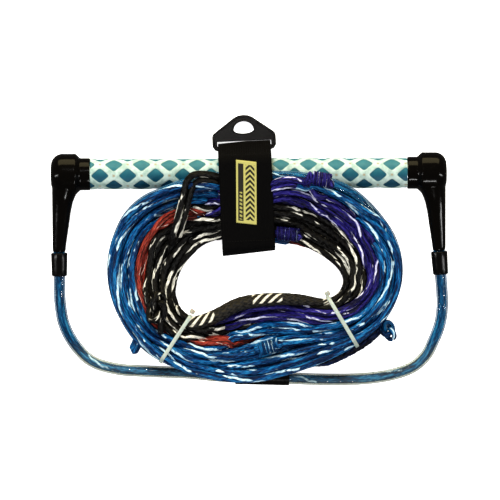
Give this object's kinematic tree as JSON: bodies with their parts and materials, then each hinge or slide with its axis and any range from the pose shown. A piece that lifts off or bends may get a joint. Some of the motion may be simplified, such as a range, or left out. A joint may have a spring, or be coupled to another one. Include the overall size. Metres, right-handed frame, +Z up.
{
  "type": "tow rope handle",
  "caption": "Tow handle for water sports: a padded bar with black elbow ends, a sheathed rope bridle and a coiled floating line held to the bar by a hang strap.",
  "frame": {"origin": "on the surface that the handle lies on, under the middle of the bar, on the strap's underside", "axes": "+X along the bar, +Y from the bar to the hang tab, +Z up from the surface"},
  "size_m": [0.3764, 0.2563, 0.0531],
  "materials": {
    "cap_plastic": "moulded black vinyl, glossy",
    "keeper_rubber": "black heat-shrink rubber, semi-gloss",
    "grip_rubber": "soft moulded rubber with a pale net over teal diamonds",
    "bar_aluminium": "drawn tube, satin",
    "core_foam": "closed-cell flotation foam",
    "rope_blue": "braided polyethylene, blue",
    "rope_purple": "braided polyethylene, purple",
    "rope_red": "braided polyethylene, brick red",
    "rope_black": "braided polyethylene, black with cream flecks",
    "clear_sheath": "clear PVC tube",
    "webbing": "ribbed black webbing",
    "hook_loop": "hook and loop tape",
    "label": "woven label, yellow with a dark field",
    "tie_nylon": "natural nylon",
    "tab_plastic": "moulded black plastic, satin"
  },
  "bodies": {
    "handle": {"bar_tube": "bar_aluminium", "grip_sleeve": "grip_rubber", "flotation_core": "core_foam", "right_end_cap": "cap_plastic", "left_end_cap": "cap_plastic", "bar_rope": "rope_blue", "strap_belt": "webbing", "label_patch": "label", "loop_patch": "hook_loop", "hook_patch": "hook_loop", "left_bridle_rope": "rope_blue", "left_bridle_sheath": "clear_sheath", "right_bridle_rope": "rope_blue", "right_bridle_sheath": "clear_sheath", "bridle_junction_sleeve": "keeper_rubber", "coil_black": "rope_black", "coil_red": "rope_red", "coil_purple": "rope_purple", "coil_blue": "rope_blue", "lead_rope": "rope_blue", "lead_sheath": "clear_sheath", "black_knot": "rope_black", "blue_splice_knot": "rope_blue", "purple_loop_splice": "rope_purple", "blue_end_loop": "rope_blue", "dark_rope_tip": "rope_blue", "black_loop_strand": "rope_black", "left_tie_band": "tie_nylon", "left_tie_head": "tie_nylon", "right_tie_band": "tie_nylon", "right_tie_head": "tie_nylon"},
    "hang_tab": {"hang_tab": "tab_plastic"},
    "left_keeper": {"left_keeper_sleeve": "keeper_rubber"},
    "right_keeper": {"right_keeper_sleeve": "keeper_rubber"}
  },
  "joints": [
    {"name": "hang_tab_swing", "type": "hinge", "parent": "handle", "child": "hang_tab", "pos_m": [-0.00398, 0.02448, 0.005], "axis": [0.9992, 0.0401, 0], "range_deg": [-85, 50]},
    {"name": "left_keeper_slide", "type": "slide", "parent": "handle", "child": "left_keeper", "axis": [0, -0.9962, -0.0872], "range_m": [0, 0.01]},
    {"name": "right_keeper_slide", "type": "slide", "parent": "handle", "child": "right_keeper", "axis": [0.0698, -0.9938, -0.0869], "range_m": [0, 0.01]}
  ]
}
